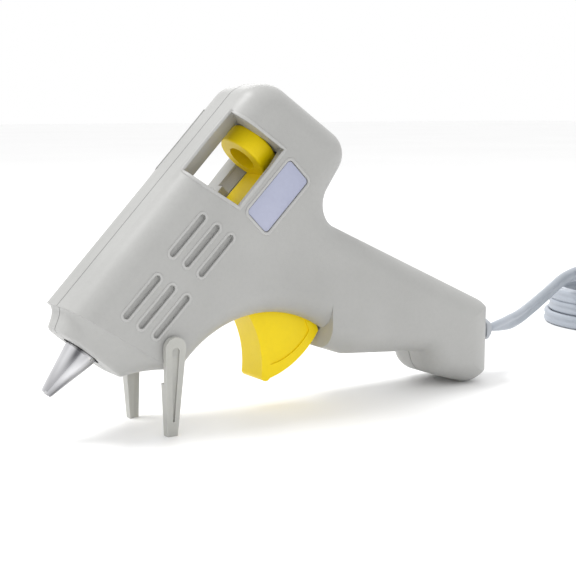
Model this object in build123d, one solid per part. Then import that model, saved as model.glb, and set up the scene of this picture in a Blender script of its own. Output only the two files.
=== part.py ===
from build123d import *
import os
from math import cos, pi, radians, sin, tan

# Small hot-melt glue gun, standing on its two front legs and the butt of its handle.
#
# Two frames are used, both in millimetres:
#   standing frame  the frame of the finished part: +X from nozzle to handle, +Z up, z = 0 on the
#                   table, origin under the middle of the gun's length
#   gun frame       x along the barrel from the nozzle's tip to the rear, z square to it, away from
#                   the handle. The glue stick's axis is z = 0.

# ---------------------------------------------------------------- driving dimensions
BARREL_ANGLE = 44.8  # barrel above the table, nozzle down
TIP_X = -73.4  # nozzle tip in the standing frame
TIP_Z = 13.5

HALF_WIDTH = 12.2  # housing, each side of the seam
END_ROUND = 11.5  # rounding of the handle's end, seen from above
EDGE_ROUND = 7.0  # rounding of the housing's long edges
WALL = 1.8
FIT = 0.05  # running clearance on a radius

STICK_BORE = 4.2  # radius of the channel for a 7.2 mm glue stick
INLET_BORE = 4.6  # the same, where the stick enters the housing
INLET_BOSS = 6.6
CHAMBER_RADIUS = 6.0
RING_RADIUS = 7.5
RING_HOLE = 4.1
RING_FRONT = 82.0
RING_LENGTH = 5.8
BAR_TOP = -6.0
BAR_THICK = 2.2
BAR_HALF_WIDTH = 4.6

TRIGGER_PIVOT = (55.2, -27.3)  # gun frame
TRIGGER_HALF_WIDTH = 5.4
TRIGGER_TRAVEL = 25.0  # degrees
ARM_LENGTH = 16.3  # pivot to link pin
PIN_RADIUS = 1.5
PIN_REACH = 9.4  # the trigger pin's ends, from the seam
SLOT_RADIUS = 24.6  # trigger slot's far wall, from the pivot
SLOT_FRONT_X = -17.7  # standing frame, the slot's front end
HUB_RADIUS = 3.2

UNDER_ARC_CENTRE = (-12.6, -4.9)  # standing frame, the hollow under the barrel
UNDER_ARC_RADIUS = 34.0
GUARD_X = 7.1  # standing frame, the wall of the guard behind the trigger

STAND_PIVOT = (27.6, -14.2)  # gun frame
LEG_THICK = 1.6
LEG_HEAD = 2.9  # half the leg's width at its pivot
LEG_FOOT = 1.4  # and at its foot
AXLE_RADIUS = 1.5

CORD_WIDTH = 5.0
CORD_THICK = 2.6
EXIT_X = 75.5  # standing frame, where the cord leaves its strain relief
EXIT_Z = 15.0
BUTT_X = 71.3


# ---------------------------------------------------------------- frames and small helpers
def to_gun(x, z):
    """A point of the standing frame in the gun frame."""
    dx, dz = x - TIP_X, z - TIP_Z
    c, s = cos(radians(BARREL_ANGLE)), sin(radians(BARREL_ANGLE))
    return dx * c + dz * s, -dx * s + dz * c


def stand(shape):
    """A shape of the gun frame moved to the standing frame."""
    return Pos(TIP_X, 0, TIP_Z) * Rot(0, -BARREL_ANGLE, 0) * shape


def slab(outline, low, high):
    """A closed wire in the XZ plane, extruded between two values of y."""
    face = Plane.XZ * make_face(outline)
    return Pos(0, high, 0) * extrude(face, amount=high - low)


def outline_of(corners):
    """A closed outline through (x, z, radius) corners."""
    points = [(x, z) for x, z, _ in corners]
    return FilletPolyline(*points, radius=[r for _, _, r in corners], close=True)


def cylinder_y(x, z, radius, low, high):
    """A cylinder along Y at (x, z)."""
    return Pos(x, (low + high) / 2, z) * Rot(90, 0, 0) * Cylinder(radius, high - low)


def rod_x(start, end, radius, y=0.0, z=0.0):
    """A cylinder along the gun frame's x."""
    return Pos((start + end) / 2, y, z) * Rot(0, 90, 0) * Cylinder(radius, end - start)


def tube_x(start, end, outer, inner, y=0.0, z=0.0):
    return rod_x(start, end, outer, y, z) - rod_x(start - 1, end + 1, inner, y, z)


def block(x, y, z):
    """A box from its (low, high) limits on each axis."""
    size = [b - a for a, b in (x, y, z)]
    return Pos(sum(x) / 2, sum(y) / 2, sum(z) / 2) * Box(*size)


def lie(shape):
    """A shape of the standing frame moved to the gun frame."""
    return Rot(0, BARREL_ANGLE, 0) * Pos(-TIP_X, 0, -TIP_Z) * shape


def stand_block(x, y, z):
    """A box given in the standing frame, in the gun frame."""
    return lie(block(x, y, z))


def both_sides(shape):
    return shape + mirror(shape, about=Plane.XZ)


def turned(point, centre, degrees):
    """A gun-frame point turned about a centre, from +x towards +z."""
    c, s = cos(radians(degrees)), sin(radians(degrees))
    dx, dz = point[0] - centre[0], point[1] - centre[1]
    return centre[0] + dx * c - dz * s, centre[1] + dx * s + dz * c


# ---------------------------------------------------------------- housing
HANDLE_BEND = 9.4
REAR_CORNER = 7.3


def body_corners(inset):
    """Corners of the gun's side outline, gun frame; inset moves the whole outline inwards."""
    corners = [
        (8.0, 13.1, 0.0),
        (92.9, 15.2, REAR_CORNER),
        (100.2, 12.4, 9.0),
        (106.2, -20.0, REAR_CORNER),
        (84.0, -24.4, 7.0),
        (*to_gun(BUTT_X, 23.9), HANDLE_BEND),
        (*to_gun(BUTT_X, -3.1), HANDLE_BEND),
        (*to_gun(46.4, 4.8), REAR_CORNER),
        (*to_gun(44.0, 12.0), 2.5),
        (*to_gun(14.0, 14.4), 12.0),
        (*to_gun(5.0, 17.9), REAR_CORNER),
        (25.2, -21.0, REAR_CORNER),
        (8.0, -20.4, 0.0),
    ]
    if inset == 0:
        return outline_of(corners)
    outline = Wire(outline_of(corners).edges())
    return offset(outline, amount=-inset, kind=Kind.INTERSECTION)


def rounded_body(inset):
    """The gun's side outline as a slab with rounded edges and a handle whose end is rounded in plan."""
    half, edge = HALF_WIDTH - inset, EDGE_ROUND - inset
    solid = slab(body_corners(inset), -half, half)
    rims = solid.edges().filter_by(lambda e: abs(abs(e.center().Y) - half) < 1e-3)
    end = BUTT_X - inset
    plan = Plane.XY * Pos(end - 120, 0) * RectangleRounded(240, 2 * half, END_ROUND - inset)
    return fillet(rims, edge) & lie(Pos(0, 0, -20) * extrude(plan, amount=140))


def under_hollow(inset):
    """What is taken away under the barrel: a disc whose rim flares out towards the sides."""
    half, edge = HALF_WIDTH, EDGE_ROUND
    rim = UNDER_ARC_RADIUS + inset
    flat = half - edge
    with BuildSketch() as profile:
        with BuildLine():
            Polyline((1, -half - 3), (rim + edge - inset, -half - 3), (rim + edge - inset, -half + inset))
            RadiusArc((rim + edge - inset, -half + inset), (rim, -flat), edge - inset)
            Line((rim, -flat), (rim, flat))
            RadiusArc((rim, flat), (rim + edge - inset, half - inset), edge - inset)
            back = rim + edge - inset
            Polyline((back, half - inset), (back, half + 3), (1, half + 3), (1, -half - 3))
        make_face()
    disc = revolve(profile.sketch, Axis.Y)
    x, z = to_gun(*UNDER_ARC_CENTRE)
    guard = stand_block((GUARD_X + inset, 80), (-20, 20), (-40, 80))
    return Pos(x, 0, z) * disc - guard


NOSE_TOP = (18.0, 13.3)  # where the collar starts, along the barrel's top
NOSE_BOTTOM = (24.4, -21.0)
NOSE_TILT = 11.8  # degrees, of the collar's back edge


def nose_section(x, top, bottom, half, tilt, corner):
    """A rounded rectangle across the barrel, leaning back at its foot by tilt degrees."""
    facing = (-cos(radians(tilt)), 0, -sin(radians(tilt)))
    plane = Plane(origin=(x, 0, (top + bottom) / 2), x_dir=(0, 1, 0), z_dir=facing)
    return plane * RectangleRounded(2 * half, (top - bottom) / cos(radians(tilt)), corner)


def nose():
    """The collar in front of the body, drawn in towards the front face."""
    sections = [
        nose_section(21.3, 12.8, -20.4, HALF_WIDTH - 0.4, NOSE_TILT, 6.8),
        nose_section(18.6, 11.2, -16.2, HALF_WIDTH - 2.0, 9.0, 6.4),
        nose_section(15.6, 10.2, -12.9, HALF_WIDTH - 3.0, 6.5, 5.8),
        nose_section(13.4, 9.5, -11.2, HALF_WIDTH - 3.4, 5.0, 5.4),
    ]
    solid = loft(sections)
    front = solid.faces().sort_by(Axis.X)[0]
    return fillet(front.edges(), 1.2)


def nose_cutter():
    """Everything in front of the collar's back edge."""
    middle = ((NOSE_TOP[0] + NOSE_BOTTOM[0]) / 2, (NOSE_TOP[1] + NOSE_BOTTOM[1]) / 2)
    return Pos(middle[0], 0, middle[1]) * Rot(0, -NOSE_TILT, 0) * block((-60, 0), (-30, 30), (-60, 60))


# The window's outline at the outer surface and at the seam: its upper wall and its front wall
# slope inwards from the surface, so that the opening is smaller at the seam.
WINDOW_OUTER = [(62.2, 19.4), (83.6, 20.0), (88.2, -2.2), (67.6, -2.9)]
WINDOW_INNER = [(68.2, 7.8), (88.0, 8.2), (88.4, -3.4), (68.4, -3.4)]
WINDOW_REACH = 13.2


def window(grow=0.0, low=0.0):
    """The window as a solid through both shells; grow thickens its upper and end walls."""
    def ring(points, y):
        (x0, z0), (x1, z1), (x2, z2), (x3, z3) = points
        moved = [
            (x0 - grow, z0 + grow), (x1 + grow, z1 + grow), (x2 + grow, z2 - low), (x3 - grow, z3 - low),
        ]
        return Pos(0, y, 0) * (Plane.XZ * make_face(Polyline(*moved, close=True)))
    side = loft([ring(WINDOW_INNER, 0), ring(WINDOW_OUTER, -WINDOW_REACH)], ruled=True)
    return both_sides(side)


SLOT_LENGTH = 14.2
SLOT_WIDTH = 1.9
SLOT_PITCH = 5.0
SLOT_GROUPS = [(52.9, -1.6), (32.9, -2.8)]  # the middle slot of each group of three


def vent_slots(width, length, low, high):
    """Six vents in two groups of three on the near side, parallel to the barrel."""
    slots = Part()
    for x, z in SLOT_GROUPS:
        for step in (-1, 0, 1):
            face = Plane.XZ * Pos(x - step * 0.9, z + step * SLOT_PITCH) * SlotOverall(length, width)
            slots += Pos(0, high, 0) * extrude(face, amount=high - low)
    return slots


LABEL_CENTRE = (78.0, -9.8)
LABEL_SIZE = (19.0, 8.4)
LABEL_DEEP = 0.5

SCREW_PLACES = [(38.5, 10.0), (100.0, -12.5), to_gun(34.0, 36.0), to_gun(60.3, 22.6)]
SCREW_SHAFT = 1.2
SCREW_BOSS = 2.5
SCREW_HEAD = 1.7
CLAMP_X = 59.6  # standing frame, the two screws that hold the cord clamp
CLAMP_SCREW_Y = 6.2
CLAMP_SCREW_RADIUS = 1.1


def supports():
    """Ribs and bosses inside the housing, before the moving parts' room is cleared."""
    inner = HALF_WIDTH - WALL / 2
    ribs = block((24.0, 25.6), (-inner, inner), (-18.0, 13.5))
    ribs += block((44.4, 45.8), (-inner, inner), (-9.5, 13.5))
    ribs += block((61.0, 62.6), (-inner, inner), (-3.0, 14.0))
    ribs += block((62.4, 63.9), (-inner, inner), (-15.5, -9.0))
    ribs += tube_x(97.0, 104.0, INLET_BOSS, INLET_BORE)
    for x, z in SCREW_PLACES:
        ribs += cylinder_y(x, z, SCREW_BOSS, -inner, inner)
    ribs += cylinder_y(*TRIGGER_PIVOT, 3.4, -inner, inner)
    ribs += cylinder_y(*STAND_PIVOT, 2.6, -inner, inner)
    ribs += block((64.2, 90.0), (5.2, inner), (-4.8, -3.6)) + block((64.2, 90.0), (5.2, 6.4), (-9.0, -3.6))
    ribs += cord_seat()
    return ribs


def cord_seat():
    """The wall across the handle's butt that the cord clamp is screwed to."""
    return stand_block((55.0, 67.0), (-HALF_WIDTH + 1, HALF_WIDTH - 1), (8.6, 12.0))


def moving_room():
    """Room for the glue stick, feed carriage, trigger and heater inside the ribs."""
    inner = HALF_WIDTH - WALL
    room = rod_x(44.0, 120.0, STICK_BORE)
    room += rod_x(74.2, RING_FRONT + RING_LENGTH + 0.4, RING_RADIUS + 0.4)
    room += block((46.0, 88.2), (-5.2, 5.2), (BAR_TOP - BAR_THICK - 0.5, BAR_TOP + 0.4))
    room += block((46.0, 62.4), (-5.4, 5.4), (-16.0, BAR_TOP))
    room += block((64.0, 80.0), (-4.4, 4.4), (-16.0, BAR_TOP))
    room += rod_x(10.0, 50.0, CHAMBER_RADIUS)
    room += block((32.6, 48.5), (-6.4, 6.4), (-11.6, 0))
    hub = cylinder_y(*TRIGGER_PIVOT, SLOT_RADIUS, -TRIGGER_HALF_WIDTH - 0.4, TRIGGER_HALF_WIDTH + 0.4)
    return room + hub


def trigger_slot():
    """The slot through the wall that the trigger swings in."""
    half = TRIGGER_HALF_WIDTH + 0.4
    sweep = cylinder_y(*TRIGGER_PIVOT, SLOT_RADIUS, -half, half)
    front = stand_block((-60, SLOT_FRONT_X), (-20, 20), (-20, 60))
    return sweep - front


def housing():
    """The whole casing, before it is parted at the seam."""
    inside = rounded_body(WALL) - under_hollow(WALL)
    inside -= Pos(2.0, 0, 0) * nose_cutter()
    inside -= window(1.5, 0.6)
    cavity = inside - (supports() - moving_room())
    shell = rounded_body(0) - under_hollow(0) - nose_cutter() + nose()
    shell -= cavity
    shell -= rod_x(5.0, 16.4, 5.4)
    shell -= rod_x(16.0, 24.2, CHAMBER_RADIUS + 0.3)
    shell -= rod_x(88.0, 120.0, INLET_BORE)
    shell -= window()
    shell -= block((66.6, 88.2), (-HALF_WIDTH + WALL, 5.2), (-9.0, -2.6))
    shell -= rod_x(74.2, RING_FRONT + RING_LENGTH + 0.4, RING_RADIUS + 0.35)
    shell -= trigger_slot()
    shell -= both_sides(vent_slots(SLOT_WIDTH, SLOT_LENGTH, -HALF_WIDTH - 2, -HALF_WIDTH + 0.9))
    recess = RectangleRounded(LABEL_SIZE[0] + 0.4, LABEL_SIZE[1] + 0.4, 1.2)
    label_face = Plane.XZ * Pos(*LABEL_CENTRE) * recess
    shell -= Pos(0, -HALF_WIDTH + LABEL_DEEP, 0) * extrude(label_face, amount=3)
    shell -= cylinder_y(*TRIGGER_PIVOT, PIN_RADIUS, -PIN_REACH, PIN_REACH)
    shell -= cylinder_y(*STAND_PIVOT, AXLE_RADIUS + FIT, -20, 20)
    for x, z in SCREW_PLACES:
        shell -= cylinder_y(x, z, SCREW_SHAFT, -8.0, 20)
        shell -= cylinder_y(x, z, SCREW_HEAD + 0.2, HALF_WIDTH - 3.6, 20)
    shell -= relief_room()
    for y in (-CLAMP_SCREW_Y, CLAMP_SCREW_Y):
        shell -= lie(Pos(CLAMP_X, y, 11.0) * Cylinder(CLAMP_SCREW_RADIUS, 2.9))
    return shell


def relief_room():
    """The hole in the butt that the strain relief's groove sits in."""
    hole = stand_block((BUTT_X - 4, BUTT_X + 4), (-3.6, 3.6), (EXIT_Z - 2.6, EXIT_Z + 2.6))
    flange = stand_block((BUTT_X - 4.6, BUTT_X - WALL), (-4.9, 4.9), (EXIT_Z - 3.9, EXIT_Z + 3.9))
    return hole + flange


def half_shell(whole, side):
    """The half of the casing on one side of the seam: side is -1 (near) or 1 (far)."""
    low, high = (-40, 0) if side < 0 else (0, 40)
    half = whole & block((-20, 200), (low, high), (-200, 100))
    return half.solids().sort_by(SortBy.VOLUME)[-1]


def housing_screws():
    screws = []
    for x, z in SCREW_PLACES:
        head = cylinder_y(x, z, SCREW_HEAD, HALF_WIDTH - 3.6, HALF_WIDTH - 2.2)
        cross = block((x - 1.1, x + 1.1), (HALF_WIDTH - 3.0, HALF_WIDTH), (z - 0.25, z + 0.25))
        cross += block((x - 0.25, x + 0.25), (HALF_WIDTH - 3.0, HALF_WIDTH), (z - 1.1, z + 1.1))
        screws.append(head - cross + cylinder_y(x, z, SCREW_SHAFT, -7.5, HALF_WIDTH - 3.6))
    return Compound(children=[s.solids()[0] for s in screws])


def rating_label():
    """A blank plate stuck in its recess on the near side."""
    face = Plane.XZ * Pos(*LABEL_CENTRE) * RectangleRounded(*LABEL_SIZE, 1.0)
    return Pos(0, -HALF_WIDTH + LABEL_DEEP, 0) * extrude(face, amount=0.3)


# ---------------------------------------------------------------- nozzle and heater
def nozzle():
    """A smooth cone on a shank that screws into the melt chamber."""
    with BuildSketch(Plane.XY) as profile:
        Polygon(
            (-0.9, 0.8), (-0.9, 1.4), (-0.4, 1.65), (12.4, 4.45), (16.2, 4.45), (16.2, 3.0),
            (22.0, 3.0), (22.0, 2.2), (14.0, 2.2), (6.0, 0.8), align=None,
        )
    return revolve(profile.sketch, Axis.X)


def melt_chamber():
    """The cast aluminium tube that melts the stick, with a pocket under it for the heater."""
    solid = rod_x(16.4, 48.0, CHAMBER_RADIUS) + rod_x(47.0, 54.0, 4.8)
    solid += block((33.0, 47.5), (-5.4, 5.4), (-10.6, -3.0))
    solid -= rod_x(22.0, 60.0, 3.9) + rod_x(10.0, 22.5, 3.0)
    return solid - block((30.0, 50.0), (-4.3, 4.3), (-9.4, -6.6))


def ptc_heater():
    return block((34.5, 46.5), (-3.6, 3.6), (-8.6, -7.4))


def heater_electrodes():
    """A contact plate on each face of the heater, with a tail for its lead."""
    plates = []
    for z, y in ((-8.9, -2.4), (-7.4, 2.4)):
        plate = block((34.5, 46.8), (-3.6, 3.6), (z, z + 0.3))
        plates.append((plate + block((46.0, 48.6), (y - 0.9, y + 0.9), (z, z + 0.3))).solids()[0])
    return Compound(children=plates)


def heater_insulation():
    """A film sleeve between the electrodes and the chamber."""
    outer = block((34.0, 46.9), (-4.1, 4.1), (-9.3, -6.7))
    return outer - block((30.0, 50.0), (-3.8, 3.8), (-9.05, -6.95))


def heater_clip():
    """A spring-steel saddle that squeezes the pocket onto the heater."""
    return block((37.0, 43.0), (-6.1, 6.1), (-11.3, -3.6)) - block((36.0, 44.0), (-5.45, 5.45), (-10.65, 0))


def inlet_sleeve():
    """The silicone sleeve that guides the stick into the chamber."""
    solid = tube_x(48.2, 60.6, 5.5, 3.8)
    return solid - rod_x(48.0, 54.2, 4.85)


def sleeve_clip():
    """A split ring round the sleeve."""
    return tube_x(48.3, 49.2, 6.1, 5.5) - block((48.0, 50.0), (-1.2, 1.2), (4.0, 7.0))


# ---------------------------------------------------------------- feed mechanism
LINK_PIN = turned((TRIGGER_PIVOT[0], TRIGGER_PIVOT[1] + ARM_LENGTH), TRIGGER_PIVOT, -TRIGGER_TRAVEL / 2)
SPRING_FRONT = 63.95
SPRING_REAR = 77.4
SPRING_Z = -12.2
SPRING_RADIUS = 2.3


def feed_carriage():
    """The ring that grips the stick, on a flat bar with a fork for the link pin."""
    rear = RING_FRONT + RING_LENGTH
    ring = rod_x(RING_FRONT, rear, RING_RADIUS)
    ring = fillet(ring.edges().filter_by(GeomType.CIRCLE), 0.6)
    link_x = LINK_PIN[0]
    bar = block((link_x - 2.0, rear), (-BAR_HALF_WIDTH, BAR_HALF_WIDTH), (BAR_TOP - BAR_THICK, BAR_TOP))
    fork = both_sides(block((link_x - 2.7, link_x + 3.2), (2.7, BAR_HALF_WIDTH), (-14.6, BAR_TOP)))
    tab = block((SPRING_REAR, SPRING_REAR + 1.6), (-3.4, 3.4), (-15.0, BAR_TOP - 1))
    slot = block((link_x - PIN_RADIUS - 0.08, link_x + PIN_RADIUS + 0.08), (-6, 6), (-16.0, -9.0))
    carriage = ring + bar + fork + tab
    return carriage - rod_x(RING_FRONT - 1, rear + 1, RING_HOLE) - slot


def trigger():
    """The finger blade below its hub, and the arm above it that carries the link pin."""
    px, pz = TRIGGER_PIVOT
    with BuildSketch(Plane.XZ) as side:
        with BuildLine():
            ThreePointArc((50.7, -30.1), (47.4, -37.9), (41.1, -45.0))
            ThreePointArc((41.1, -45.0), (41.0, -46.6), (42.7, -47.4))
            ThreePointArc((42.7, -47.4), (52.9, -50.9), (62.9, -50.4))
            Polyline((62.9, -50.4), (66.6, -41.0), (58.5, -26.0), (52.5, -26.0), (50.7, -30.1))
        make_face()
    half = TRIGGER_HALF_WIDTH
    blade = extrude(side.sketch, amount=half, both=True)
    blade -= both_sides(trigger_panel())
    hub = cylinder_y(px, pz, HUB_RADIUS, -half, half)
    top = turned((px, pz + ARM_LENGTH), TRIGGER_PIVOT, -TRIGGER_TRAVEL / 2)
    foot_a = turned((px - 3.0, pz), TRIGGER_PIVOT, -TRIGGER_TRAVEL / 2)
    foot_b = turned((px + 3.0, pz), TRIGGER_PIVOT, -TRIGGER_TRAVEL / 2)
    head_a = turned((px - 2.2, pz + ARM_LENGTH), TRIGGER_PIVOT, -TRIGGER_TRAVEL / 2)
    head_b = turned((px + 2.2, pz + ARM_LENGTH), TRIGGER_PIVOT, -TRIGGER_TRAVEL / 2)
    arm = slab(Polyline(foot_a, foot_b, head_b, head_a, close=True), -2.2, 2.2)
    arm += cylinder_y(*top, 2.4, -2.2, 2.2)
    solid = blade + hub + arm
    return solid - cylinder_y(px, pz, PIN_RADIUS + FIT, -20, 20) - cylinder_y(*top, PIN_RADIUS, -20, 20)


def trigger_panel():
    """The shallow hollow in the blade's side, inside its raised lower rim."""
    half = TRIGGER_HALF_WIDTH
    with BuildSketch(Plane.XZ) as panel:
        with BuildLine():
            ThreePointArc((53.0, -31.5), (49.8, -39.2), (45.6, -44.9))
            ThreePointArc((45.6, -44.9), (53.2, -48.2), (60.8, -48.1))
            Polyline((60.8, -48.1), (63.5, -41.5), (58.5, -31.5), (53.0, -31.5))
        make_face()
    return Pos(0, half, 0) * extrude(panel.sketch, amount=0.4)


def trigger_pin():
    return cylinder_y(*TRIGGER_PIVOT, PIN_RADIUS, -PIN_REACH + 0.2, PIN_REACH - 0.2)


def link_pin():
    return cylinder_y(*LINK_PIN, PIN_RADIUS, -BAR_HALF_WIDTH, BAR_HALF_WIDTH)


def return_spring():
    """The room of the coil spring that pushes the carriage back."""
    return tube_x(SPRING_FRONT, SPRING_REAR, SPRING_RADIUS, SPRING_RADIUS - 0.5, z=SPRING_Z)


# ---------------------------------------------------------------- folding stand
LEG_OUT = HALF_WIDTH + 0.35
FOOT_AHEAD = -0.4  # foot from the pivot, along standing X
LEG_LEAN = 4.3  # degrees, each leg towards the other
FLANGE_START = 8.8  # below the pivot, clear of the housing as the stand folds


def stand_leg(side):
    """One leg, standing frame: a tapered plate with a hollow face and an inward flange in front."""
    px, pz = pivot_standing()
    foot_x = px + FOOT_AHEAD
    tip = LEG_FOOT
    with BuildSketch(Plane.XZ) as outline:
        with BuildLine():
            Polyline((foot_x - tip, -1.0), (px - LEG_HEAD, pz), (px - LEG_HEAD, pz + 1))
            ThreePointArc((px - LEG_HEAD, pz + 1), (px, pz + 1 + LEG_HEAD), (px + LEG_HEAD, pz + 1))
            Polyline((px + LEG_HEAD, pz + 1), (px + LEG_HEAD, pz), (foot_x + tip, -1.0))
            Line((foot_x + tip, -1.0), (foot_x - tip, -1.0))
        make_face()
    plate = Pos(0, -LEG_OUT, 0) * extrude(outline.sketch, amount=LEG_THICK)
    flange = Pos(0, -LEG_OUT + 2.0, 0) * extrude(outline.sketch, amount=2.0)
    flange -= Pos(px, -LEG_OUT + 0.7, 0) * Rot(-3.6, 0, 0) * block((-10, 10), (0, 6), (-5, 40))
    below = block((-90, 40), (-30, 0), (-5, pz - FLANGE_START))
    behind = Pos(px + 0.4, 0, pz) * Rot(0, 3.0, 0) * block((0, 20), (-30, 0), (-40, 5))
    leg = plate + (flange & below) - (flange & below & behind)
    leg -= leg_hollow(px, pz, foot_x)
    leg = Pos(px, -LEG_OUT, pz) * Rot(LEG_LEAN, 0, 0) * Pos(-px, LEG_OUT, -pz) * leg
    leg -= cylinder_y(px, pz, AXLE_RADIUS, -LEG_OUT - 1.0, -LEG_OUT + 1)
    leg &= block((-90, 40), (-30, 0), (0, 60))
    return leg if side < 0 else mirror(leg, about=Plane.XZ)


def leg_hollow(px, pz, foot_x):
    """The tapered hollow down the leg's outer face."""
    with BuildSketch(Plane.XZ) as taper:
        with BuildLine():
            Line((foot_x - 0.25 + 0.2, 4.0), (px - 1.1, pz))
            ThreePointArc((px - 1.1, pz), (px, pz + 1.1), (px + 1.1, pz))
            Polyline((px + 1.1, pz), (foot_x + 0.25 + 0.2, 4.0), (foot_x - 0.25 + 0.2, 4.0))
        make_face()
    return Pos(0, -LEG_OUT - LEG_THICK + 0.5, 0) * extrude(taper.sketch, amount=2)


def pivot_standing():
    """The stand's pivot in the standing frame."""
    c, s = cos(radians(BARREL_ANGLE)), sin(radians(BARREL_ANGLE))
    x, z = STAND_PIVOT
    return TIP_X + x * c - z * s, TIP_Z + x * s + z * c


def stand_axle():
    px, pz = pivot_standing()
    return cylinder_y(px, pz, AXLE_RADIUS, -LEG_OUT - 1.0, LEG_OUT + 1.0)


# ---------------------------------------------------------------- cord inside the handle
def flat_cord(start, end):
    """A straight run of the flat twin cord along standing X."""
    face = Plane.YZ * (Pos(-1.2, 0) * Circle(CORD_THICK / 2) + Pos(1.2, 0) * Circle(CORD_THICK / 2))
    face += Plane.YZ * Rectangle(2.4, CORD_THICK * 0.8)
    return Pos(start, 0, EXIT_Z) * extrude(face, amount=end - start)


def strain_relief():
    """A stepped rubber bush: a flange inside the butt, a groove in its wall, two steps outside."""

    def step(x0, x1, half_y, half_z, corner):
        face = Plane.YZ * RectangleRounded(2 * half_y, 2 * half_z, corner)
        return Pos(x0, 0, EXIT_Z) * extrude(face, amount=x1 - x0)

    bush = step(BUTT_X - 3.4, BUTT_X - WALL - 0.02, 4.6, 3.6, 2.4)
    bush += step(BUTT_X - WALL - 0.02, BUTT_X, 3.5, 2.5, 1.6)
    bush += step(BUTT_X, BUTT_X + 1.6, 3.7, 2.7, 2.0) + step(BUTT_X + 1.6, BUTT_X + 3.0, 4.3, 3.4, 2.6)
    bush += step(BUTT_X + 3.0, EXIT_X, 3.5, 2.6, 2.0)
    return bush - flat_cord(BUTT_X - 10, EXIT_X + 1)


def cord_tail():
    """The cord's end inside the handle, up to where its two leads part."""
    return flat_cord(52.0, EXIT_X - 0.02)


def cord_clamp():
    """A plate screwed across the cord, inside the butt."""
    top = EXIT_Z + CORD_THICK / 2
    plate = block((CLAMP_X - 2.5, CLAMP_X + 2.5), (-8.6, 8.6), (top, top + 2.0))
    plate += both_sides(block((CLAMP_X - 2.5, CLAMP_X + 2.5), (3.4, 8.6), (12.0, top)))
    for y in (-CLAMP_SCREW_Y, CLAMP_SCREW_Y):
        plate -= Pos(CLAMP_X, y, EXIT_Z) * Cylinder(CLAMP_SCREW_RADIUS, 20)
    return plate


def cord_clamp_screws():
    top = EXIT_Z + CORD_THICK / 2 + 2.0
    screws = []
    for y in (-CLAMP_SCREW_Y, CLAMP_SCREW_Y):
        shaft = Pos(CLAMP_X, y, (top + 9.6) / 2) * Cylinder(CLAMP_SCREW_RADIUS, top - 9.6)
        head = Pos(CLAMP_X, y, top + 0.5) * Cylinder(1.6, 1.0)
        slot = block((57, 63), (y - 0.3, y + 0.3), (top + 0.6, top + 2))
        screws.append((shaft + head - slot).solids()[0])
    return Compound(children=screws)


def wire(points, radii, radius):
    """A round wire along straight runs joined by arcs."""
    path = FilletPolyline(*points, radius=radii)
    start = Plane(origin=path @ 0, z_dir=path % 0)
    return sweep(start * Circle(radius), path=path)


LEAD_RADIUS = 0.7


def lead_route(side):
    """The points that one lead passes, standing frame, from its splice to the heater."""
    return [
        (39.9, side * 5.0, 22.0),
        (26.0, side * 8.2, 25.0),
        (8.0, side * 8.4, 31.0),
        (-20.0, side * 8.0, 40.0),
    ]


def lead_wires():
    wires = [wire(lead_route(side), [8.0, 10.0], LEAD_RADIUS).solids()[0] for side in (-1, 1)]
    return Compound(children=wires)


def wire_splices():
    """Crimped caps that join the cord's cores to the heater's leads."""
    caps = []
    for side in (-1, 1):
        cap = Pos(44.0, side * 5.0, 22.0 - 0.85) * Rot(0, 102, 0) * Cylinder(2.0, 8.0)
        caps.append(cap.solids()[0])
    return Compound(children=caps)


# ---------------------------------------------------------------- free cord, coil and plug
# The cord's route on the table side of its strain relief, standing frame: level out of the butt,
# up over the coil's near rim, round above its hole and down into its top layer.
CORD_ROUTE = [
    (EXIT_X, 0.0, EXIT_Z), (85.0, 1.7, 14.8), (97.0, 7.6, 14.6), (114.0, 17.6, 15.9), (132.0, 27.6, 18.2),
    (149.0, 37.2, 20.6), (166.0, 45.0, 21.4), (182.0, 48.0, 20.6), (197.0, 42.6, 19.4), (207.0, 29.5, 17.8),
    (204.5, 14.0, 15.0), (192.5, 8.5, 12.4),
]
PLUG_ROUTE = [
    (199.0, 66.5, 2.6), (212.0, 61.0, 2.6), (223.5, 51.5, 2.8),
    (229.5, 38.0, 4.4), (231.0, 24.5, 6.6), (231.0, 12.0, 6.6),
]
COIL_CENTRE = (187.5, 40.0)
COIL_RADIUS = 27.5  # at the middle of its turns
COIL_BUNDLE = 12.0  # width of the turns side by side
COIL_HEIGHT = 15.0
PLUG_TOP = (231.0, 12.0, 6.6)  # where the cord enters the plug


def route_radii(points):
    """For each corner of a route, the arc that takes 0.45 of the shorter run beside it."""
    radii = []
    for a, b, c in zip(points, points[1:], points[2:]):
        before, after = Vector(*b) - Vector(*a), Vector(*c) - Vector(*b)
        half_turn = radians(before.get_angle(after)) / 2
        radii.append(0.45 * min(before.length, after.length) / tan(half_turn))
    return radii


def cord_tube(points, name):
    """A round tube along a route, with its radii and its volume against section times length."""
    radii = route_radii(points)
    path = FilletPolyline(*points, radius=radii)
    start = Plane(origin=path @ 0, z_dir=path % 0)
    radius = 0.44 * CORD_WIDTH
    tube = sweep(start * Circle(radius), path=path)
    ideal = pi * radius**2 * path.length
    bends = [round(r) for r in radii]
    print(name, "length %.1f radii" % path.length, bends, "volume ratio %.4f" % (tube.volume / ideal))
    return tube


def power_cord():
    return cord_tube(CORD_ROUTE, "power_cord")


def plug_lead():
    return cord_tube(PLUG_ROUTE, "plug_lead")


def cord_coil():
    """The outer shape of the coiled length."""
    x, y = COIL_CENTRE
    outer, inner = COIL_RADIUS + COIL_BUNDLE / 2, COIL_RADIUS - COIL_BUNDLE / 2
    ring = Cylinder(outer, COIL_HEIGHT) - Cylinder(inner, COIL_HEIGHT + 1)
    ring = fillet(ring.edges().filter_by(GeomType.CIRCLE), 2.5)
    return Pos(x, y, COIL_HEIGHT / 2 + 0.05) * ring


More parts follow.
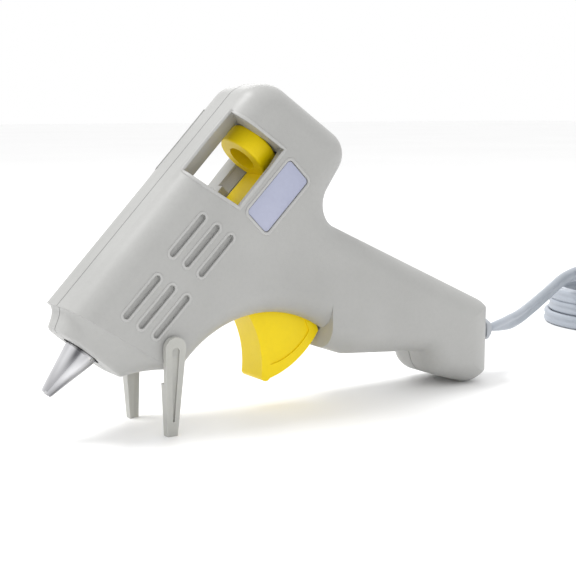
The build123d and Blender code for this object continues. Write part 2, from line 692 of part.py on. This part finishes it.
def coil_tie():
    """A twist tie round the coil's bundle, on the side away from the gun."""
    x, y = COIL_CENTRE
    half, high = COIL_BUNDLE / 2 + 0.3, COIL_HEIGHT + 0.2
    band = block((-half - 0.8, half + 0.8), (-2.0, 2.0), (0, high + 0.7))
    band -= block((-half, half), (-3.0, 3.0), (0.0, high))
    return Pos(x, y, 0) * Rot(0, 0, 81) * Pos(COIL_RADIUS, 0, 0) * band


def plug_body():
    """A moulded two-blade plug lying on its side, cord end tapered."""
    x, y, z = PLUG_TOP

    def across(at, half_x, half_z, corner):
        plane = Plane(origin=(x, at, z), x_dir=(1, 0, 0), z_dir=(0, -1, 0))
        return plane * RectangleRounded(2 * half_x, 2 * half_z, corner)

    grip = loft([across(y, 4.0, 3.6, 3.0), across(y - 10, 8.5, 5.2, 4.0), across(y - 16, 11.0, 6.4, 4.5)])
    base = extrude(across(y - 16, 11.0, 6.4, 4.5), amount=7)
    return grip + base


def plug_blades():
    x, y, z = PLUG_TOP
    blades = []
    for side in (-6.35, 6.35):
        blade = block((x + side - 0.75, x + side + 0.75), (y - 40.0, y - 23.0), (z - 3.2, z + 3.2))
        hole = Pos(x + side, y - 36.5, z) * Rot(0, 90, 0) * Cylinder(1.5, 4)
        blades.append((blade - hole).solids()[0])
    return Compound(children=blades)


# ---------------------------------------------------------------- build and write
GUN_FRAME = {
    "rating_label": rating_label,
    "housing_screws": housing_screws,
    "nozzle": nozzle,
    "melt_chamber": melt_chamber,
    "ptc_heater": ptc_heater,
    "heater_electrodes": heater_electrodes,
    "heater_insulation": heater_insulation,
    "heater_clip": heater_clip,
    "inlet_sleeve": inlet_sleeve,
    "sleeve_clip": sleeve_clip,
    "feed_carriage": feed_carriage,
    "trigger": trigger,
    "trigger_pin": trigger_pin,
    "link_pin": link_pin,
    "return_spring": return_spring,
}
STANDING_FRAME = {
    "stand_leg_left": lambda: stand_leg(-1),
    "stand_leg_right": lambda: stand_leg(1),
    "stand_axle": stand_axle,
    "strain_relief": strain_relief,
    "cord_tail": cord_tail,
    "cord_clamp": cord_clamp,
    "cord_clamp_screws": cord_clamp_screws,
    "lead_wires": lead_wires,
    "wire_splices": wire_splices,
    "power_cord": power_cord,
    "cord_coil": cord_coil,
    "coil_tie": coil_tie,
    "plug_lead": plug_lead,
    "plug_body": plug_body,
    "plug_blades": plug_blades,
}


def main():
    os.makedirs("parts", exist_ok=True)
    casing = housing()
    made = {
        "left_housing": stand(half_shell(casing, -1)),
        "right_housing": stand(half_shell(casing, 1)),
    }
    made.update({name: stand(make()) for name, make in GUN_FRAME.items()})
    made.update({name: make() for name, make in STANDING_FRAME.items()})
    for name, shape in made.items():
        export_step(shape, f"parts/{name}.step")


main()
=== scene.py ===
"""Looks of the small hot-melt glue gun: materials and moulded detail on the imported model, and its cord."""
from math import cos, pi, radians, sin, sqrt

import bmesh
import bpy
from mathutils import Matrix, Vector
from mathutils.bvhtree import BVHTree


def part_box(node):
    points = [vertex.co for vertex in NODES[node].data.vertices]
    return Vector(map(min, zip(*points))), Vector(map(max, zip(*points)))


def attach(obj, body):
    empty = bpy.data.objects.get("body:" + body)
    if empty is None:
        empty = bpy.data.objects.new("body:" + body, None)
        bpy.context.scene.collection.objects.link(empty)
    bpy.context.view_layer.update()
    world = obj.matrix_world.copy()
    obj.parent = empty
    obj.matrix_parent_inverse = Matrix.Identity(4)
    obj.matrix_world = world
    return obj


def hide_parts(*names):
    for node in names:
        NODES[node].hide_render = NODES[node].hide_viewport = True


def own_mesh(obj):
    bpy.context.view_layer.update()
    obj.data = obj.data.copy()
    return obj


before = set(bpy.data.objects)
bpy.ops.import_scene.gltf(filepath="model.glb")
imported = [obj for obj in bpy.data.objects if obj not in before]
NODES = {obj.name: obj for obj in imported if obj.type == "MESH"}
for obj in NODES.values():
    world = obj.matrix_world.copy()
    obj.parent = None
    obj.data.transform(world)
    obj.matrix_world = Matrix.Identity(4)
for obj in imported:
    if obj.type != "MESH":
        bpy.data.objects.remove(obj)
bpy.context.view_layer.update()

# ---------------------------------------------------------------- sizes, in metres unless a line says mm
MM = 0.001
BARREL_ANGLE = radians(44.8)
TIP = Vector((-0.0734, 0.0, 0.0135))  # nozzle tip, origin of the gun frame
ALONG = Vector((cos(BARREL_ANGLE), 0.0, sin(BARREL_ANGLE)))
ACROSS = Vector((-sin(BARREL_ANGLE), 0.0, cos(BARREL_ANGLE)))
HALF_WIDTH = 12.2  # mm, of the housing, each side of the seam

CORD_WIDTH = 5.0 * MM
CORD_THICK = 2.6 * MM
COIL_CENTRE = (187.5, 40.0)  # mm, like the radius, the lanes and the routes
COIL_RADIUS = 27.5
COIL_LANES = [  # how far out of the coil's radius each turn lies, and how high, top layer first
    (1.7, 12.1), (-1.7, 12.0), (-1.7, 7.35), (1.7, 7.35), (-3.4, 2.65), (0.0, 2.65), (3.4, 2.65),
]
TURN_STEPS = 14
LANE_CHANGE = 4  # steps at the end of a turn in which the cord moves over to the next lane
COIL_START = radians(-79)
LAST_TURN_STEPS = 8  # of the unfinished turn, from which the plug's end leaves
CORD_ROUTE = [
    (75.5, 0.0, 15.0), (85.0, 1.7, 14.8), (97.0, 7.6, 14.6), (114.0, 17.6, 15.9), (132.0, 27.6, 18.2),
    (149.0, 37.2, 20.6), (166.0, 45.0, 21.4), (182.0, 48.0, 20.6), (197.0, 42.6, 19.4),
    (207.0, 29.5, 17.8), (204.5, 14.0, 15.0),
]
PLUG_ROUTE = [
    (199.0, 66.5, 2.6), (212.0, 61.0, 2.6), (223.5, 51.5, 2.8),
    (229.5, 38.0, 4.4), (231.0, 24.5, 6.6), (231.0, 12.0, 6.6),
]


def at(u, y, w):
    """A point given in mm along the barrel, across the gun and square to the barrel, in the row frame."""
    return TIP + ALONG * (u * MM) + Vector((0, y * MM, 0)) + ACROSS * (w * MM)


# ---------------------------------------------------------------- materials
class Look:
    """A node material with the few node chains that every finish here is made of."""

    def __init__(self, name, **sockets):
        self.material = bpy.data.materials.new(name)
        self.material.use_nodes = True
        self.tree = self.material.node_tree
        self.shader = self.tree.nodes["Principled BSDF"]
        for key, value in sockets.items():
            self.shader.inputs[key.replace("_", " ")].default_value = value
        coords = self.tree.nodes.new("ShaderNodeTexCoord")
        self.place = coords.outputs["Object"]

    def node(self, kind, **settings):
        made = self.tree.nodes.new(kind)
        for key, value in settings.items():
            setattr(made, key, value)
        return made

    def noise(self, scale, detail=3.0, stretch=(1, 1, 1), distortion=0.0, turn=0.0):
        """Noise with scale features per metre, turned about Y and stretched along the axes."""
        turned = self.node("ShaderNodeMapping")
        turned.inputs["Rotation"].default_value = (0, turn, 0)
        self.tree.links.new(self.place, turned.inputs["Vector"])
        mapping = self.node("ShaderNodeMapping")
        mapping.inputs["Scale"].default_value = stretch
        self.tree.links.new(turned.outputs["Vector"], mapping.inputs["Vector"])
        texture = self.node("ShaderNodeTexNoise")
        texture.inputs["Scale"].default_value = scale
        texture.inputs["Detail"].default_value = detail
        texture.inputs["Distortion"].default_value = distortion
        self.tree.links.new(mapping.outputs["Vector"], texture.inputs["Vector"])
        return texture.outputs["Fac"]

    def ramp(self, value, low, high, start=0.3, end=0.7):
        """Colours or greys from low to high as value goes from start to end."""
        ramp = self.node("ShaderNodeValToRGB")
        for stop, place, colour in zip(ramp.color_ramp.elements, (start, end), (low, high)):
            stop.position = place
            stop.color = (*colour, 1) if hasattr(colour, "__len__") else (colour, colour, colour, 1)
        self.tree.links.new(value, ramp.inputs["Fac"])
        return ramp.outputs["Color"]

    def multiply(self, a, b):
        mix = self.node("ShaderNodeMix", data_type="RGBA", blend_type="MULTIPLY")
        mix.inputs["Factor"].default_value = 1.0
        self.tree.links.new(a, mix.inputs["A"])
        self.tree.links.new(b, mix.inputs["B"])
        return mix.outputs["Result"]

    def math(self, operation, a, b):
        made = self.node("ShaderNodeMath", operation=operation)
        for socket, value in zip(made.inputs, (a, b)):
            if isinstance(value, (int, float)):
                socket.default_value = value
            else:
                self.tree.links.new(value, socket)
        return made.outputs["Value"]

    def colour(self, value):
        self.tree.links.new(value, self.shader.inputs["Base Color"])

    def rough(self, value, low, high):
        self.tree.links.new(self.ramp(value, low, high), self.shader.inputs["Roughness"])

    def bump(self, height, distance, strength=1.0):
        """Adds a bump on top of any that is already there."""
        made = self.node("ShaderNodeBump")
        made.inputs["Distance"].default_value = distance
        made.inputs["Strength"].default_value = strength
        self.tree.links.new(height, made.inputs["Height"])
        normal = self.shader.inputs["Normal"]
        if normal.is_linked:
            self.tree.links.new(normal.links[0].from_socket, made.inputs["Normal"])
        self.tree.links.new(made.outputs["Normal"], normal)

    def y_of(self, vector):
        split = self.node("ShaderNodeSeparateXYZ")
        self.tree.links.new(vector, split.inputs["Vector"])
        return self.math("ABSOLUTE", split.outputs["Y"], 0)

    def seam(self, half_width):
        """1 away from the plane y = 0, falling to 0 on it, but 1 on the faces that lie in that plane."""
        off = self.math("DIVIDE", self.y_of(self.place), half_width)
        geometry = self.node("ShaderNodeNewGeometry")
        facing = self.math("GREATER_THAN", self.y_of(geometry.outputs["True Normal"]), 0.9)
        return self.math("MINIMUM", self.math("ADD", off, facing), 1.0)


def moulded(name, low, high, grain=0.00003, gloss=(0.38, 0.5), seam=False, **sockets):
    """Moulded plastic: slight cloudiness, a fine spark-eroded grain and uneven gloss."""
    look = Look(name, **sockets)
    tint = look.ramp(look.noise(38, 4), low, high)
    speck = look.ramp(look.noise(900, 2), 0.97, 1.0, 0.25, 0.6)
    tint = look.multiply(tint, speck)
    look.rough(look.noise(120, 3), *gloss)
    look.bump(look.noise(2600, 2), grain)
    look.bump(look.noise(55, 1), 0.00012, 0.5)
    if seam:
        line = look.seam(0.00028)
        tint = look.multiply(tint, look.ramp(line, 0.42, 1.0, 0.15, 1.0))
        look.bump(line, 0.0002)
    look.colour(tint)
    return look.material


def metal(name, low, high, gloss, stretch=(1, 1, 1), scale=700, **sockets):
    """Metal with drawn or turned marks and a slightly uneven polish."""
    look = Look(name, Metallic=1.0, **sockets)
    look.colour(look.ramp(look.noise(scale / 8, 3), low, high))
    look.rough(look.noise(scale, 4, stretch), *gloss)
    look.bump(look.noise(scale, 3, stretch), 0.00001)
    return look.material


def plating(name):
    """Bright plating with long light and dark streaks along the barrel painted into its colour: a painted
    reflection of the surroundings, such as a curved polish would show.
    """
    look = Look(name, Metallic=1.0)
    # painted reflection: light and dark streaks along the barrel, put into the base colour
    painted_reflection_streaks = look.noise(230, 1, (0.06, 1, 1), turn=BARREL_ANGLE)
    look.colour(look.ramp(painted_reflection_streaks, (0.14, 0.14, 0.15), (0.80, 0.80, 0.82), 0.36, 0.62))
    look.rough(look.noise(500, 4), 0.07, 0.18)
    look.bump(look.noise(700, 3), 0.00001)
    return look.material


SHELL = moulded("shell_plastic", (0.365, 0.365, 0.355), (0.41, 0.41, 0.40), seam=True)
# the housing's own grey made lighter: a painted highlight for the raised lips round the openings, where
# light catches them; the cord clamp uses it too
SHELL_PAINTED_HIGHLIGHT = moulded("shell_painted_highlight", (0.41, 0.41, 0.40), (0.46, 0.46, 0.45))
YELLOW = moulded(
    "yellow_plastic", (0.84, 0.62, 0.0), (0.90, 0.68, 0.0), gloss=(0.38, 0.5), Specular_IOR_Level=0.3,
)
STAND = moulded(
    "stand_plastic", (0.39, 0.39, 0.37), (0.46, 0.46, 0.43), gloss=(0.3, 0.42),
    Subsurface_Weight=0.2, Subsurface_Scale=0.0015, Subsurface_Radius=(1.0, 1.0, 0.95),
)
CORD = moulded("cord_vinyl", (0.30, 0.33, 0.37), (0.38, 0.41, 0.46), gloss=(0.35, 0.5))
RUBBER = moulded("relief_rubber", (0.36, 0.38, 0.41), (0.44, 0.46, 0.49), gloss=(0.5, 0.65))
LABEL = moulded("label_foil", (0.34, 0.36, 0.48), (0.42, 0.44, 0.56), gloss=(0.4, 0.55))
TIE = moulded("tie_vinyl", (0.02, 0.02, 0.02), (0.05, 0.05, 0.05), gloss=(0.45, 0.6))
CERAMIC = moulded("fired_ceramic", (0.04, 0.04, 0.045), (0.08, 0.08, 0.085), gloss=(0.6, 0.8))
FILM = moulded("amber_film", (0.45, 0.20, 0.03), (0.58, 0.28, 0.05), gloss=(0.15, 0.3))
SILICONE = moulded("silicone", (0.60, 0.60, 0.58), (0.70, 0.70, 0.68), gloss=(0.5, 0.65))
LEAD = moulded("lead_sleeving", (0.72, 0.72, 0.70), (0.82, 0.82, 0.80), gloss=(0.4, 0.55))
CHROME = plating("nozzle_plating")
STEEL = metal("plain_steel", (0.45, 0.45, 0.47), (0.56, 0.56, 0.58), (0.25, 0.4), (1, 6, 1))
BRASS = metal("plug_brass", (0.62, 0.46, 0.20), (0.72, 0.55, 0.26), (0.2, 0.32), (1, 1, 8))
CAST = metal("cast_aluminium", (0.50, 0.50, 0.52), (0.62, 0.62, 0.64), (0.4, 0.6), scale=1500)

FINISHES = {
    "left_housing": SHELL, "right_housing": SHELL, "rating_label": LABEL, "housing_screws": STEEL,
    "nozzle": CHROME, "melt_chamber": CAST, "ptc_heater": CERAMIC, "heater_electrodes": BRASS,
    "heater_insulation": FILM, "heater_clip": STEEL, "inlet_sleeve": SILICONE, "sleeve_clip": STEEL,
    "feed_carriage": YELLOW, "trigger": YELLOW, "trigger_pin": STEEL, "link_pin": STEEL,
    "return_spring": STEEL, "stand_leg_left": STAND, "stand_leg_right": STAND, "stand_axle": STEEL,
    "strain_relief": RUBBER, "cord_tail": CORD, "cord_clamp": SHELL_PAINTED_HIGHLIGHT, "cord_clamp_screws": STEEL,
    "lead_wires": LEAD, "wire_splices": LEAD, "power_cord": CORD, "cord_coil": CORD,
    "coil_tie": TIE, "plug_lead": CORD, "plug_body": CORD, "plug_blades": BRASS,
}
for node, finish in FINISHES.items():
    NODES[node].data.materials.clear()
    NODES[node].data.materials.append(finish)


# ---------------------------------------------------------------- mesh helpers
def piece(name, mesh_or_curve, material, body="housing"):
    """A new piece of the model, in the row frame, riding on a body."""
    made = bpy.data.objects.new(name, mesh_or_curve)
    bpy.context.scene.collection.objects.link(made)
    made.data.materials.append(material)
    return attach(made, body)


def smooth_mesh(name, build):
    """A smooth-shaded mesh from a function that fills a bmesh."""
    mesh = bpy.data.meshes.new(name)
    shape = bmesh.new()
    build(shape)
    bmesh.ops.recalc_face_normals(shape, faces=shape.faces)
    for face in shape.faces:
        face.smooth = True
    shape.to_mesh(mesh)
    shape.free()
    return mesh


def loft_rings(shape, rings, close_ends=True, closed=False):
    """Joins rings of points, each with the same count, into a skin."""
    loops = [[shape.verts.new(p) for p in ring] for ring in rings]
    pairs = list(zip(loops, loops[1:]))
    if closed:
        pairs.append((loops[-1], loops[0]))
    for a, b in pairs:
        count = len(a)
        for i in range(count):
            j = (i + 1) % count
            shape.faces.new((a[i], a[j], b[j], b[i]))
    if close_ends and not closed:
        shape.faces.new(loops[0])
        shape.faces.new(reversed(loops[-1]))


# ---------------------------------------------------------------- cord
def coil_turns():
    """Turns of the put-away length, clockwise from above, on to where the plug's end leaves."""
    points = []
    for count in range((len(COIL_LANES) - 1) * TURN_STEPS + LAST_TURN_STEPS):
        turn, step = divmod(count, TURN_STEPS)
        share = max(0.0, (step - (TURN_STEPS - LANE_CHANGE)) / LANE_CHANGE)
        here, after = COIL_LANES[turn], COIL_LANES[min(turn + 1, len(COIL_LANES) - 1)]
        offset = here[0] + (after[0] - here[0]) * share
        height = here[1] + (after[1] - here[1]) * share
        angle = COIL_START - 2 * pi * count / TURN_STEPS
        wander = 0.2 * sin(3 * angle) + 0.15 * sin(5 * angle)
        radius = COIL_RADIUS + offset + wander
        x = COIL_CENTRE[0] + radius * cos(angle)
        y = COIL_CENTRE[1] + radius * sin(angle)
        points.append((x, y, height))
    return points


def centreline(points):
    """Closely spaced points on the smooth line that a route's points steer."""
    curve = bpy.data.curves.new("route", "CURVE")
    curve.dimensions = "3D"
    curve.resolution_u = 6
    spline = curve.splines.new("NURBS")
    spline.points.add(len(points) - 1)
    for point, place in zip(spline.points, points):
        point.co = (*(c * MM for c in place), 1.0)
    spline.order_u = 3
    spline.use_endpoint_u = True
    holder = bpy.data.objects.new("route", curve)
    line = bpy.data.meshes.new_from_object(holder)
    found = [v.co.copy() for v in line.vertices]
    bpy.data.objects.remove(holder)
    bpy.data.meshes.remove(line)
    bpy.data.curves.remove(curve)
    return found


def twin_section(count=28):
    """The flat twin cord's outline: two round cores joined by a web, as (across, through) pairs."""
    outline = []
    core = CORD_THICK / 2
    offset = CORD_WIDTH / 2 - core
    for i in range(count):
        angle = 2 * pi * i / count
        across = (CORD_WIDTH / 2) * cos(angle)
        depth = sqrt(max(core**2 - max(abs(across) - offset, 0) ** 2, 0))
        waist = 1 - 0.45 * max(0.0, 1 - abs(across) / offset)
        outline.append((across, depth * waist * (1 if sin(angle) >= 0 else -1)))
    return outline


def sweep_section(shape, line, section, up_at):
    """Sweeps a section along a line. up_at(i) is the direction that the section's width is square to."""
    rings = []
    for i, place in enumerate(line):
        ahead = (line[min(i + 1, len(line) - 1)] - line[max(i - 1, 0)]).normalized()
        up = up_at(i)
        up = (up - ahead * up.dot(ahead)).normalized()
        side = ahead.cross(up).normalized()
        rings.append([place + side * a + up * b for a, b in section])
    loft_rings(shape, rings)


def cord_mesh(name, line, up_at):
    section = twin_section()
    return smooth_mesh(name, lambda shape: sweep_section(shape, line, section, up_at))


CORD_LINE = centreline(CORD_ROUTE + coil_turns() + PLUG_ROUTE)
CORD_PLACES = [0.0]  # of each point, along the cord
for before, after in zip(CORD_LINE, CORD_LINE[1:]):
    CORD_PLACES.append(CORD_PLACES[-1] + (after - before).length)
CORD_LENGTH = CORD_PLACES[-1]
TWIST = 16 * MM  # of cord, in which it turns from flat to standing on its edge


def upright(i):
    """What the cord's width is square to: up in the bush and the plug, else sideways, on its edge."""
    ahead = CORD_LINE[min(i + 1, len(CORD_LINE) - 1)] - CORD_LINE[max(i - 1, 0)]
    sideways = Vector((-ahead.y, ahead.x, 0)).normalized()
    turned = min(CORD_PLACES[i], CORD_LENGTH - CORD_PLACES[i], TWIST) / TWIST * pi / 2
    return Vector((0, 0, 1)) * cos(turned) + sideways * sin(turned)


def lying_flat(i):
    return Vector((0, 0, 1))


mains = piece("mains_cord", cord_mesh("mains_cord", CORD_LINE, upright), CORD)
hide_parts("power_cord", "cord_coil", "plug_lead")


# ---------------------------------------------------------------- moulded lips on the housing
# In mm, along and square to the barrel.
SLOT_GROUPS = [(52.9, -1.6), (32.9, -2.8)]  # middle slot of each group of three
SLOT_SIZE = (14.2, 1.9)
SLOT_PITCH = (-0.9, 5.0)
LABEL_CENTRE = (78.0, -9.8)
LABEL_SIZE = (19.0, 8.4)
WINDOW_OUTER = [(62.2, 19.4), (83.6, 20.0), (88.2, -2.2), (67.6, -2.9)]
WINDOW_INNER = [(68.2, 7.8), (88.0, 8.2), (88.4, -3.4), (68.4, -3.4)]
WINDOW_REACH = 13.2  # from the seam to where WINDOW_OUTER is measured
LIP_GAP = 0.35  # from an opening's edge to the middle of its lip
OUTSIDE = 30  # from the seam, clear of the housing


def skin_of(node):
    mesh = NODES[node].data
    return BVHTree.FromPolygons([v.co for v in mesh.vertices], [p.vertices for p in mesh.polygons])


SKIN = {-1: skin_of("left_housing"), 1: skin_of("right_housing")}


def on_skin(u, w, side, default=HALF_WIDTH):
    """How far from the seam the housing's surface is, in mm, at a place in the gun frame."""
    start = at(u, side * OUTSIDE, w)
    hit = SKIN[side].ray_cast(start, Vector((0, -side, 0)))[0]
    return default if hit is None else abs(hit.y) / MM


def rounded_outline(half_length, half_width, radius, per_corner=8):
    """Points round a rounded rectangle that is centred on the origin."""
    points = []
    for corner, (a, b) in enumerate(((1, 1), (-1, 1), (-1, -1), (1, -1))):
        for step in range(per_corner + 1):
            angle = pi / 2 * (corner + step / per_corner)
            x = a * (half_length - radius) + radius * cos(angle)
            points.append((x, b * (half_width - radius) + radius * sin(angle)))
    return points


def bead(shape, path, radius, height):
    """A closed moulded lip along a path in the row frame: radius wide each side, height proud."""
    count = len(path)
    rings = []
    for i, place in enumerate(path):
        ahead = (path[(i + 1) % count] - path[i - 1]).normalized()
        out = Vector((0, 1 if place.y > 0 else -1, 0))
        side = ahead.cross(out).normalized()
        ring = []
        for step in range(10):
            angle = 2 * pi * step / 10
            ring.append(place + side * (radius * cos(angle)) + out * (height * sin(angle)))
        rings.append(ring)
    loft_rings(shape, rings, closed=True)


def lip_round_outline(shape, centre, outline, side, radius, height):
    path = []
    for a, b in outline:
        u, w = centre[0] + a, centre[1] + b
        path.append(at(u, side * on_skin(u, w, side), w))
    bead(shape, path, radius * MM, height * MM)


def subdivided(corners, steps):
    """Points along a closed polygon, steps to a side."""
    points = []
    for (x0, z0), (x1, z1) in zip(corners, corners[1:] + corners[:1]):
        for step in range(steps):
            k = step / steps
            points.append((x0 + (x1 - x0) * k, z0 + (z1 - z0) * k))
    return points


def window_path(side):
    """Where the window's slanting walls come out of the housing."""
    outer, inner = subdivided(WINDOW_OUTER, 16), subdivided(WINDOW_INNER, 16)
    middle = [sum(c[i] for c in WINDOW_OUTER) / 4 for i in (0, 1)]
    path = []
    for (xo, zo), (xi, zi) in zip(outer, inner):
        low, high = 0.0, 1.0
        for _ in range(12):
            k = (low + high) / 2
            u, w = xi + (xo - xi) * k, zi + (zo - zi) * k
            away = Vector((u - middle[0], w - middle[1])).normalized() * LIP_GAP
            u, w = u + away.x, w + away.y
            inside = k * WINDOW_REACH < on_skin(u, w, side, 0.0)
            low, high = (k, high) if inside else (low, k)
        path.append(at(u, side * low * WINDOW_REACH, w))
    return path


def slot_lips(shape):
    half_length, half_width = SLOT_SIZE[0] / 2 + LIP_GAP, SLOT_SIZE[1] / 2 + LIP_GAP
    for u, w in SLOT_GROUPS:
        for step in (-1, 0, 1):
            centre = (u + step * SLOT_PITCH[0], w + step * SLOT_PITCH[1])
            for side in (-1, 1):
                outline = rounded_outline(half_length, half_width, half_width - 0.01)
                lip_round_outline(shape, centre, outline, side, 0.42, 0.22)


def label_lip(shape):
    outline = rounded_outline(LABEL_SIZE[0] / 2 + 0.65, LABEL_SIZE[1] / 2 + 0.65, 1.7)
    lip_round_outline(shape, LABEL_CENTRE, outline, -1, 0.45, 0.25)


def window_lips(shape):
    for side, radius, height in ((-1, 0.5, 0.3), (1, 0.3, 0.08)):
        bead(shape, window_path(side), radius * MM, height * MM)


for name, build in (("vent_lips", slot_lips), ("label_lip", label_lip), ("window_lips", window_lips)):
    lips = piece(name, smooth_mesh(name, build), SHELL_PAINTED_HIGHLIGHT)


# ---------------------------------------------------------------- return spring
# In mm, in the gun frame.
SPRING_ENDS = (63.95, 77.4)
SPRING_W = -12.2
SPRING_RADIUS = 2.02
SPRING_WIRE = 0.26
SPRING_TURNS = 9
SPRING_STEPS = 20  # to a turn
SPRING_CLOSED = 1 - 0.4  # how much of its pitch each end turn loses


def spring_line():
    """The wire's middle: a helix whose end turns are closed up."""
    line = []
    for step in range(SPRING_TURNS * SPRING_STEPS + 1):
        turn = step / SPRING_STEPS
        closed_up = min(turn, SPRING_TURNS - turn, 1.0)
        share = (turn if turn < SPRING_TURNS / 2 else SPRING_TURNS - turn) - SPRING_CLOSED * closed_up
        share = share / (SPRING_TURNS / 2 - SPRING_CLOSED) / 2
        share = share if turn < SPRING_TURNS / 2 else 1 - share
        reach = SPRING_ENDS[1] - SPRING_ENDS[0] - 2 * SPRING_WIRE
        u = SPRING_ENDS[0] + SPRING_WIRE + share * reach
        angle = 2 * pi * turn
        line.append(at(u, SPRING_RADIUS * cos(angle), SPRING_W + SPRING_RADIUS * sin(angle)))
    return line


def round_section(radius, count=10):
    return [(radius * cos(2 * pi * i / count), radius * sin(2 * pi * i / count)) for i in range(count)]


def along_barrel(i):
    return ALONG


SPRING_LINE = spring_line()
spring_mesh = smooth_mesh(
    "return_spring_coil",
    lambda shape: sweep_section(shape, SPRING_LINE, round_section(SPRING_WIRE * MM), along_barrel),
)
spring = piece("return_spring_coil", spring_mesh, STEEL)
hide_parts("return_spring")
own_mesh(spring)


# ---------------------------------------------------------------- plug grip
RIB_COUNT = 5  # on each face
RIB_PITCH = 2.2  # mm, like the radius
RIB_RADIUS = 0.55


def plug_ribs(shape):
    """Raised grip bars across the plug's two wide faces."""
    low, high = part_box("plug_body")
    middle = (low + high) / 2
    for row in range(RIB_COUNT):
        y = high.y - (11.0 + row * RIB_PITCH) * MM
        reach = (6.2 + row * 0.45) * MM
        for side in (-1, 1):
            z = middle.z + side * (5.35 + 0.2 * row) * MM
            line = [Vector((middle.x + reach * (k / 6 - 1), y, z)) for k in range(13)]
            section = round_section(RIB_RADIUS * MM, 8)
            sweep_section(shape, line, section, lying_flat)


ribs = piece("plug_grip_ribs", smooth_mesh("plug_grip_ribs", plug_ribs), CORD)


# ---------------------------------------------------------------- camera, floor and light
LENS = 74.4
CAMERA_PLACE = (-0.1841, -0.2821, 0.0849)
CAMERA_AIM = (0.540, 0.828, -0.149)
FLOOR_HALF = 6.0


def aim(obj, direction):
    obj.rotation_mode = "QUATERNION"
    obj.rotation_quaternion = Vector(direction).to_track_quat("-Z", "Y")


def soft_light(name, place, size, power, target=(0.0, 0.0, 0.05)):
    light = bpy.data.lights.new(name, "AREA")
    light.shape = "DISK"
    light.size = size
    light.energy = power
    made = bpy.data.objects.new(name, light)
    bpy.context.scene.collection.objects.link(made)
    made.location = place
    aim(made, Vector(target) - Vector(place))


camera_data = bpy.data.cameras.new("camera")
camera_data.lens = LENS
camera_data.sensor_width = 36
camera_data.clip_start = 0.01
camera = bpy.data.objects.new("camera", camera_data)
bpy.context.scene.collection.objects.link(camera)
camera.location = CAMERA_PLACE
aim(camera, CAMERA_AIM)
bpy.context.scene.camera = camera

floor_look = Look("floor", Roughness=0.9)
floor_look.colour(floor_look.ramp(floor_look.noise(3, 2), 0.95, 0.97))
floor_mesh = smooth_mesh("floor", lambda shape: bmesh.ops.create_grid(shape, size=FLOOR_HALF))
floor = bpy.data.objects.new("floor", floor_mesh)
bpy.context.scene.collection.objects.link(floor)
floor.data.materials.append(floor_look.material)

world = bpy.data.worlds.new("studio")
bpy.context.scene.world = world
world.use_nodes = True
world.node_tree.nodes["Background"].inputs["Color"].default_value = (1.0, 1.0, 1.0, 1)
world.node_tree.nodes["Background"].inputs["Strength"].default_value = 1.0
soft_light("top", (-0.3, 0.2, 0.9), 0.4, 5.0)
soft_light("back", (0.5, 0.8, 0.6), 0.6, 2.0)
bpy.context.scene.view_settings.view_transform = "Standard"
